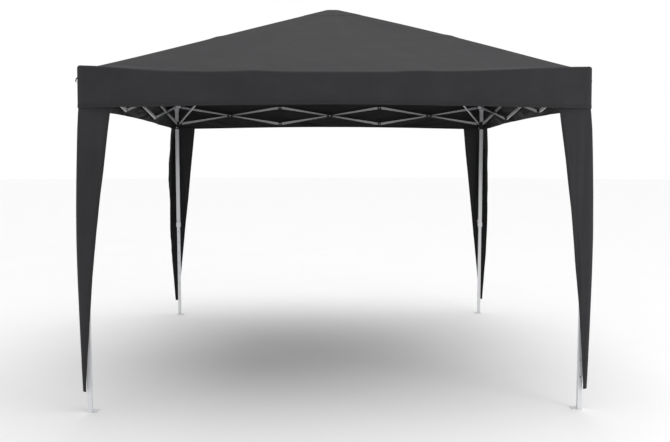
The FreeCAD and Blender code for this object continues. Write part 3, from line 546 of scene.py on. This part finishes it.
def half_side(turn, mirrored):
    """Rows of places for half of a side, from its corner to its middle, in the side's own frame."""
    corner = CORNERS[turn] if not mirrored else CORNERS[(turn + 1) % 4]
    sign = -1.0 if mirrored else 1.0
    x, y, _, _, run = ring_half(roof_rings)
    rings = np.repeat(roof_rings[:, None], x.shape[1], axis=1)
    seam = SEAM_TALL * (run < SEAM_WIDE)
    patch = PATCH_TALL * np.clip((PATCH - rings) / 0.004 + 0.5, 0, 1)
    z = roof_height(x, y, rings, corner) + roof_wrinkles(x * sign, y, rings) + seam + patch
    rows = [np.stack([x, y, z], axis=-1)]
    runs = [run]

    last = z[-1]
    start = math.pi / 2 - math.atan(HIP_STEEPNESS)
    centre = last - EAVE_ROUND * math.sin(start)
    for turn_down in np.linspace(start, 0, EAVE_STEPS + 1)[1:]:
        out = HALF - EAVE_ROUND + EAVE_ROUND * math.cos(turn_down)
        ex, ey, _, _, erun = ring_half(np.array([out]))
        rows.append(np.stack([ex[0], ey[0], centre + EAVE_ROUND * math.sin(turn_down)], axis=-1)[None])
        runs.append(erun)
    ex, ey, nx, ny, erun = ring_half(np.array([HALF]))
    hem_line = VALANCE_LOW + VALANCE_ARCH * np.cos(ex[0] / HALF * math.pi / 2) ** 1.2
    steps = np.concatenate([np.linspace(0, 0.90, VALANCE_ROWS - 3)[1:], [0.906, 0.914, 0.95, 1.0]])
    for depth in steps:
        out = valance_folds(ex[0] * sign, depth, turn) + HEM_TALL * (depth > HEM_FROM)
        height = centre + (hem_line - centre) * depth
        rows.append(np.stack([ex[0] + nx[0] * out, ey[0] + ny[0] * out, height], axis=-1)[None])
        runs.append(erun)
    rows, runs = np.concatenate(rows), np.concatenate(runs)
    if mirrored:
        rows[..., 0] *= -1
        rows, runs = rows[:, ::-1], runs[:, ::-1]
    return rows, runs


def turn_plan(points, quarter):
    c, s = round(math.cos(quarter * math.pi / 2)), round(math.sin(quarter * math.pi / 2))
    return np.stack([c * points[..., 0] - s * points[..., 1],
                     s * points[..., 0] + c * points[..., 1], points[..., 2]], axis=-1)


columns, from_hip = [], []
for turn in range(4):
    left, left_run = half_side(turn, False)
    right, right_run = half_side(turn, True)
    columns.append(turn_plan(np.concatenate([left, right[:, 1:-1]], axis=1), turn))
    from_hip.append(np.concatenate([left_run, right_run[:, 1:-1]], axis=1))
sheet = np.concatenate(columns, axis=1)
from_hip = np.concatenate(from_hip, axis=1)
ROWS, COLUMNS = sheet.shape[:2]
eave_row = len(roof_rings) - 1 + EAVE_STEPS
print("the sheet has", ROWS, "rows and", COLUMNS, "columns; the eave is at row", eave_row)


# %% [markdown]
# The sheet is cut into pieces only so that it can fold with its frame.  Normals, seam distances and the
# UV map are worked out on the whole sheet first, and each piece keeps them, so no cut can be seen while
# the tent stands.

# %% Normals, distances and the map of the whole sheet
def grid_normals(points, closed):
    """Outward normals of a grid whose rows run downwards and columns to the right."""
    if closed:
        along = np.roll(points, -1, axis=1) - np.roll(points, 1, axis=1)
    else:
        along = np.gradient(points, axis=1)
    down = np.gradient(points, axis=0)
    normal = np.cross(down, along)
    length = np.linalg.norm(normal, axis=-1, keepdims=True)
    normal = normal / np.maximum(length, 1e-12)
    normal[length[..., 0] < 1e-11] = (0, 0, 1)
    return normal


MAP_WIDE = 3.2  # the map of a side's right half counts back from here, clear of its left half
sheet_normals = grid_normals(sheet, closed=True)
sheet_normals[0] = (0, 0, 1)
step_down = np.linalg.norm(np.diff(sheet, axis=0), axis=-1)
down_run = np.concatenate([np.zeros((1, COLUMNS)), np.cumsum(step_down, axis=0)])
from_hem = down_run[-1:] - down_run
left_half = np.arange(COLUMNS) % (COLUMNS // 4) < HALF_COLUMNS
across_run = np.where(left_half, from_hip, MAP_WIDE - from_hip)
ring_of = np.minimum(np.abs(sheet[..., :2]).max(axis=-1), HALF)
print("flat length from peak to hem, in metres:", round(float(down_run[-1, HALF_COLUMNS]), 3))


# %% [markdown]
# A piece of cloth is a closed shell: an outer skin, an inner skin one thickness below it, and a rim.

# %% Make a piece of cloth from part of a grid
def cloth_piece(name, outer, normals, measures, cut=None):
    """A closed shell from a grid of places; measures are (across, down, hip, hem, peak) grids.

    A cut is (place, direction, clear_outer, clear_inner) of a straight cut through the shell."""
    rows, cols = outer.shape[:2]
    inner = outer - normals * CLOTH
    places = np.concatenate([outer.reshape(-1, 3), inner.reshape(-1, 3)])
    count = rows * cols
    at = np.arange(count).reshape(rows, cols)
    a, b, c, d = at[:-1, :-1], at[1:, :-1], at[1:, 1:], at[:-1, 1:]
    skins = [np.stack([a, b, c, d], -1).reshape(-1, 4),
             np.stack([a, d, c, b], -1).reshape(-1, 4) + count]
    for line, flip in ((at[0], True), (at[-1], False), (at[:, 0], False), (at[:, -1], True)):
        p, q = line[:-1], line[1:]
        rim = np.stack([p, p + count, q + count, q], -1)
        skins.append(rim[:, ::-1] if flip else rim)
    faces = np.concatenate(skins)
    mesh = bpy.data.meshes.new(name)
    mesh.from_pydata(places.tolist(), [], faces.tolist())
    mesh.materials.append(OUTSIDE)
    mesh.materials.append(INSIDE)
    inside = np.zeros(len(faces), dtype=np.int32)
    inside[len(skins[0]):2 * len(skins[0])] = 1
    mesh.polygons.foreach_set("material_index", inside)
    across, down, *distances = (np.tile(m.ravel(), 2) for m in measures)
    loops = np.empty(len(mesh.loops), dtype=np.int64)
    mesh.loops.foreach_get("vertex_index", loops)
    uv = mesh.uv_layers.new(name="cloth")
    uv.data.foreach_set("uv", np.stack([across, down], -1)[loops].astype(np.float32).ravel())
    for label, values in zip(("from_hip", "from_hem", "from_peak"), distances):
        mesh.attributes.new(label, "FLOAT", "POINT").data.foreach_set("value", values.astype(np.float32))
    both = np.concatenate([normals.reshape(-1, 3), -normals.reshape(-1, 3)])
    kept = mesh.attributes.new("sheet_normal", "FLOAT_VECTOR", "POINT")
    kept.data.foreach_set("vector", both.astype(np.float32).ravel())
    obj = bpy.data.objects.new(name, mesh)
    bpy.context.collection.objects.link(obj)

    make_active(obj)
    bpy.ops.object.mode_set(mode="EDIT")
    bpy.ops.mesh.select_all(action="SELECT")
    bpy.ops.mesh.remove_doubles(threshold=1e-6)
    if cut:
        place, direction, beyond, before = cut
        bpy.ops.mesh.select_all(action="SELECT")
        bpy.ops.mesh.bisect(plane_co=place, plane_no=direction, use_fill=True,
                            clear_outer=beyond, clear_inner=before)
    bpy.ops.object.mode_set(mode="OBJECT")
    bpy.ops.object.shade_smooth()
    mesh = obj.data
    normal = np.empty(len(mesh.vertices) * 3, dtype=np.float32)
    mesh.attributes["sheet_normal"].data.foreach_get("vector", normal)
    mesh.normals_split_custom_set_from_vertices(normal.reshape(-1, 3).tolist())
    mesh.attributes.remove(mesh.attributes["sheet_normal"])
    return obj


def area_of(points):
    """Area of a grid of places."""
    one = np.cross(points[1:, :-1] - points[:-1, :-1], points[:-1, 1:] - points[:-1, :-1])
    two = np.cross(points[:-1, 1:] - points[1:, 1:], points[1:, :-1] - points[1:, 1:])
    return float((np.linalg.norm(one, axis=-1) + np.linalg.norm(two, axis=-1)).sum() / 2)


def cut_from_sheet(name, rows, cols, cut=None):
    """A piece of the sheet between two rows and two columns, both kept."""
    cols = np.arange(cols[0], cols[1] + 1) % COLUMNS
    pick = np.ix_(np.arange(rows[0], rows[1] + 1), cols)
    measures = [m[pick] for m in (across_run, down_run, from_hip, from_hem, ring_of)]
    return cloth_piece(name, sheet[pick], sheet_normals[pick], measures, cut)


def skin_area(piece):
    return sum(p.area for p in piece.data.polygons if p.material_index == 0)


def half_columns(turn, half):
    """First and last column of half a side, then its column at the hip and at the middle."""
    first = (2 * turn + half) * HALF_COLUMNS
    last = first + HALF_COLUMNS
    at_hip, at_middle = (first, last) if half == 0 else (last, first)
    return (first, last), at_hip % COLUMNS, at_middle


# %% [markdown]
# Folded, the real cloth hangs in deep pleats from the arms and the legs.  Each roof panel is cut along
# its middle and, square to the hip, at the knee.  Each part rides on its roof bar.

# %% Roof panels
HIGH_ROW, LOW_ROW = 2, len(roof_rings) - 8  # rows between which a hip is straight
roof_pieces = []
for turn in range(4):
    for half in range(2):
        corner = CORNERS[(turn + half) % 4]
        cols, hip_col, middle_col = half_columns(turn, half)
        high, low = Vector(sheet[HIGH_ROW, hip_col]), Vector(sheet[LOW_ROW, hip_col])
        hip = (low - high).normalized()
        inward = Vector(sheet[LOW_ROW, middle_col]) - high
        square = (inward - hip * inward.dot(hip)).normalized()
        knee = sheet[knee_row, hip_col]
        for label in ("inner", "outer"):
            piece = cut_from_sheet(f"roof_{label}_{SIDES[turn]}_{('left', 'right')[half]}",
                                   (0, len(roof_rings) - 1), cols,
                                   (knee, hip, label == "inner", label == "outer"))
            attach(piece, f"{label}_roof_arm_{corner}")
            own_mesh(piece)
            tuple(high)
            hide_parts("canopy")
            along, across = ([v.co.dot(way) for v in piece.data.vertices] for way in (hip, square))
            long, wide = max(along) - min(along), max(across) - min(across)
            min(skin_area(piece), long * wide)
            roof_pieces.append(piece)
print(len(roof_pieces), "roof panels")

# %% [markdown]
# The valance is cut at the middle of each side and at the corners.  Every half rides on its own leg.

# %% Valance
valance_pieces = []
for turn in range(4):
    for half in range(2):
        corner = CORNERS[(turn + half) % 4]
        cols, hip_col, _ = half_columns(turn, half)
        piece = cut_from_sheet(f"valance_{SIDES[turn]}_{('left', 'right')[half]}",
                               (len(roof_rings) - 1, ROWS - 1), cols)
        along = turn_plan(np.array([1.0, 0.0, 0.0]), turn)
        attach(piece, f"leg_{corner}")
        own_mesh(piece)
        valance_pieces.append(piece)
print(len(valance_pieces), "halves of the valance")

# %% [markdown]
# ## Leg covers
# A tapered cover hangs from the valance down the outside of each leg: a wide top that narrows to a
# strip, folded round the corner of the leg.  It hangs free, so it falls in soft upright folds.  The
# cloth on one face stands a little further out than on the other, to let the covers pass each other
# when the tent is folded.

# %% Leg covers
COVER_ROWS, COVER_HALF_COLUMNS = 150, 30
COVER_ROUND = 0.010
TAPER = 1.15
STRIP_WIDE = 0.012   # width on each face at the foot
COVER_ABOVE = 0.012  # how far a cover reaches up behind the hem of the valance
COVER_BELOW = 0.004
COVER_LAYER = 0.006  # how much further out the cloth of one face stands
FAR_FROM_HIP, FAR_FROM_PEAK = 1.0, 9.0


def cover_width(height):
    share = (height - COVER_LOW) / (VALANCE_LOW - COVER_LOW)
    return STRIP_WIDE + (COVER_TOP_WIDE - STRIP_WIDE) * np.clip(share, 0, 1) ** TAPER


def cover_grid(turn):
    """Places of one cover in the frame of its corner's own side, with the run from its corner."""
    heights = np.linspace(VALANCE_LOW + COVER_ABOVE, COVER_LOW - COVER_BELOW, COVER_ROWS)[:, None]
    wide = cover_width(heights)
    spread = np.linspace(-1, 1, 2 * COVER_HALF_COLUMNS + 1)[None, :]
    run = spread * (wide + COVER_ROUND * (math.pi / 4 - 1))
    arc = COVER_ROUND * math.pi / 4
    turn_from = np.clip(np.abs(run) / COVER_ROUND, 0, math.pi / 4)
    angle = math.pi / 4 - turn_from
    straight = np.maximum(np.abs(run) - arc, 0)
    fold_at = HALF - COVER_ROUND
    # on the own side x runs away from the corner; on the other side y does
    x_own = -fold_at - COVER_ROUND * np.sin(angle) + straight
    y_own = -fold_at - COVER_ROUND * np.cos(angle)
    x = np.where(run >= 0, x_own, y_own)
    y = np.where(run >= 0, y_own, x_own)
    nx = np.where(run >= 0, -np.sin(angle), -np.cos(angle))
    ny = np.where(run >= 0, -np.cos(angle), -np.sin(angle))

    down = (VALANCE_LOW - heights) / (VALANCE_LOW - COVER_LOW)
    free = np.clip(np.abs(run) / 0.05, 0, 1) * np.clip(down * 5, 0, 1)
    pleats = soft_noise(run * 22, heights * 1.1, 5.0 + 9 * turn)
    creases = 1 - np.abs(soft_noise(run * 42 + heights * 2.5, heights * 1.9, 41.0 + 9 * turn)) * 3
    wave = soft_noise(run * 5, heights * 1.6, 23.0 + 9 * turn)
    out = (0.007 + 0.017 * pleats + 0.0035 * np.clip(creases, 0, 1) + 0.010 * wave) * free
    lean = 0.010 * np.clip(down * 2.2, 0, 1) + 0.016 * np.sin(np.pi * np.clip(down, 0, 1) ** 0.9)
    layer = COVER_LAYER * np.clip(run / 0.012 * 0.5 + 0.5, 0, 1) * np.clip(down * 14, 0.18, 1)
    hem = SEAM_TALL * (wide - np.abs(run) < HEM)
    out = np.maximum(out, 0) + lean + layer + hem - 0.0012 * np.clip(1 - down * 60, 0, 1)
    return np.stack([x + nx * out, y + ny * out, heights + 0 * run], axis=-1), run, wide, heights


cover_pieces = []
for turn, corner in enumerate(CORNERS):
    grid, run, wide, heights = cover_grid(turn)
    grid = turn_plan(grid, turn)
    normals = grid_normals(grid, closed=False)
    drop = np.linspace(0, VALANCE_LOW - COVER_LOW, COVER_ROWS)[:, None] + 0 * run
    hem_gap = np.minimum(wide - np.abs(run), heights - COVER_LOW + COVER_BELOW)
    no_hip, no_peak = np.full_like(run, FAR_FROM_HIP), np.full_like(run, FAR_FROM_PEAK)
    measures = (drop, run, no_hip, hem_gap, no_peak)
    piece = cloth_piece(f"leg_cover_{corner}", grid, normals, measures)
    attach(piece, f"leg_{corner}")
    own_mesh(piece)
    area_of(grid)
    cover_pieces.append(piece)
print(len(cover_pieces), "leg covers")

# %% [markdown]
# ## Loops for guy ropes
# A loop of webbing is sewn to the outer face of the valance at every corner.  It starts as a short open
# cylinder, is cut to a half hoop, pressed into the flattened shape of a hanging loop and given the
# thickness of webbing.

# %% Guy loops
LOOP_TALL = 0.036
LOOP_WIDE = 0.022
LOOP_OUT = {"front_left": 0.015, "back_left": 0.013, "front_right": 0.006, "back_right": 0.008}
LOOP_HEIGHT = 1.938
LOOP_IN = 0.030  # distance of a loop from the tent's corner
WEBBING_THICK = 0.0014
RIB = 0.0016     # pitch of the ribs of the webbing


def webbing_paint():
    paint = Paint("black_webbing", 0.6, sheen=0.1, specular=0.3)
    place = paint.place()
    _, _, height = paint.parts(place)
    ribs = paint.node("ShaderNodeMath", {"operation": "SINE"}, [height * (math.tau / RIB)])
    fuzz = paint.clouds(place, 700.0, detail=3.0)
    shade = paint.tint(fuzz, (0.018, 0.018, 0.020), (0.040, 0.040, 0.043))
    return paint.finish(shade, 0.6 + fuzz * 0.2, ribs * 0.5 + fuzz * 0.4, 0.0004)


WEBBING = webbing_paint()


def guy_loop(corner):
    side = -1 if corner.endswith("left") else 1
    front = -1 if corner.startswith("front") else 1
    middle = Vector((side * (HALF + 0.0006), front * (HALF - LOOP_IN), LOOP_HEIGHT))
    clear_selection()
    bpy.ops.mesh.primitive_cylinder_add(vertices=28, radius=LOOP_TALL / 2, depth=LOOP_WIDE,
                                        end_fill_type="NOTHING", location=middle,
                                        rotation=(math.pi / 2, 0, 0))
    loop = bpy.context.object
    loop.name = f"guy_loop_{corner}"
    bpy.ops.object.transform_apply(location=True, rotation=True, scale=True)
    bpy.ops.object.mode_set(mode="EDIT")
    bpy.ops.mesh.select_all(action="SELECT")
    bpy.ops.mesh.bisect(plane_co=middle, plane_no=(side, 0, 0), clear_inner=True)
    bpy.ops.mesh.select_all(action="SELECT")
    bpy.ops.transform.resize(value=(LOOP_OUT[corner] / (LOOP_TALL / 2), 1, 1), center_override=middle)
    bpy.ops.object.mode_set(mode="OBJECT")
    for vertex in loop.data.vertices:
        # the lower half hangs fuller than the upper one
        drop = (middle.z - vertex.co.z) / LOOP_TALL
        vertex.co.x = middle.x + (vertex.co.x - middle.x) * (1 + 0.9 * drop)
    skin = loop.modifiers.new("thickness", "SOLIDIFY")
    skin.thickness = WEBBING_THICK
    soften = loop.modifiers.new("soften", "SUBSURF")
    soften.levels = soften.render_levels = 1
    for modifier in ("thickness", "soften"):
        bpy.ops.object.modifier_apply(modifier=modifier)
    bpy.ops.object.mode_set(mode="EDIT")
    bpy.ops.mesh.select_all(action="SELECT")
    bpy.ops.mesh.normals_make_consistent(inside=False)
    bpy.ops.object.mode_set(mode="OBJECT")
    bpy.ops.object.shade_smooth_by_angle(angle=math.radians(40))
    bpy.context.scene.cursor.location = (0, 0, 0)
    bpy.ops.object.origin_set(type="ORIGIN_CURSOR")
    loop.data.materials.append(WEBBING)
    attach(loop, f"leg_{corner}")
    return loop


loops = [guy_loop(corner) for corner in CORNERS]
print(len(loops), "guy loops,", len(loops[0].data.polygons), "faces each")

# %% [markdown]
# ## Floor, light and camera
# A wide pale floor, a sun as broad as an overcast sky and two soft lamps in front keep the shadows soft.
# The world is plain white to the camera but dimmer as a light, so that the roof stays brighter than the
# valance, and the space under the roof stays dark.

# %% Floor
FLOOR_RADIUS = 60
FLOOR_LOW = 0.0005  # the floor lies just under the feet


def floor_paint():
    paint = Paint("pale_floor", 0.8, specular=0.1)
    place = paint.place()
    mottle = paint.clouds(place, 1.2, detail=3.0)
    shade = paint.tint(mottle, (0.90, 0.90, 0.90), (0.93, 0.93, 0.93))
    return paint.finish(shade, 0.78 + mottle * 0.1, mottle, 0.0005)


clear_selection()
bpy.ops.mesh.primitive_circle_add(vertices=64, radius=FLOOR_RADIUS, fill_type="NGON",
                                  location=(0, 0, -FLOOR_LOW))
floor = bpy.context.object
floor.name = "studio_floor"
floor.data.materials.append(floor_paint())
print("floor of", floor.dimensions.x, "m")

# %% Lights
WORLD_LIGHT = 0.52
SKY_LIGHT, SKY_ANGLE = 1.75, math.radians(75)

world = bpy.data.worlds.new("studio")
bpy.context.scene.world = world
world.use_nodes = True
tree = world.node_tree
dim, bright = tree.nodes["Background"], tree.nodes.new("ShaderNodeBackground")
dim.inputs["Color"].default_value = (1, 1, 1, 1)
dim.inputs["Strength"].default_value = WORLD_LIGHT
bright.inputs["Color"].default_value = (1, 1, 1, 1)
bright.inputs["Strength"].default_value = 1.0
path, mix = tree.nodes.new("ShaderNodeLightPath"), tree.nodes.new("ShaderNodeMixShader")
tree.links.new(path.outputs["Is Camera Ray"], mix.inputs[0])
tree.links.new(dim.outputs[0], mix.inputs[1])
tree.links.new(bright.outputs[0], mix.inputs[2])
tree.links.new(mix.outputs[0], tree.nodes["World Output"].inputs["Surface"])


def soft_light(name, at, aim, size, power):
    light = bpy.data.lights.new(name, "AREA")
    light.size, light.energy = size, power
    lamp = bpy.data.objects.new(name, light)
    bpy.context.collection.objects.link(lamp)
    lamp.location = at
    lamp.rotation_euler = (Vector(aim) - Vector(at)).to_track_quat("-Z", "Y").to_euler()


sky = bpy.data.lights.new("overcast_sky", "SUN")
sky.energy, sky.angle = SKY_LIGHT, SKY_ANGLE
overcast = bpy.data.objects.new("overcast_sky", sky)
bpy.context.collection.objects.link(overcast)
overcast.rotation_euler = (math.radians(-6), math.radians(10), 0)
soft_light("front_right", (5.5, -6.5, 3.2), (0.8, -1.4, 1.5), 3.0, 130)
soft_light("front_left", (-7.0, -7.5, 3.0), (-1.0, 0, 1.2), 4.0, 40)
bpy.context.scene.view_settings.view_transform = "Standard"

# %% Camera
EYE = (-0.0943, -5.8935, 1.4774)
LOOKS_DOWN, TURNED_RIGHT = 4.503, 1.127  # in degrees
FOCAL_LENGTH = 41.14

camera_data = bpy.data.cameras.new("camera")
camera = bpy.data.objects.new("camera", camera_data)
bpy.context.collection.objects.link(camera)
camera.location = EYE
camera.rotation_euler = (math.radians(90 - LOOKS_DOWN), 0, math.radians(-TURNED_RIGHT))
camera_data.sensor_width = 36.0
camera_data.lens = FOCAL_LENGTH
camera_data.dof.use_dof = False
bpy.context.scene.camera = camera
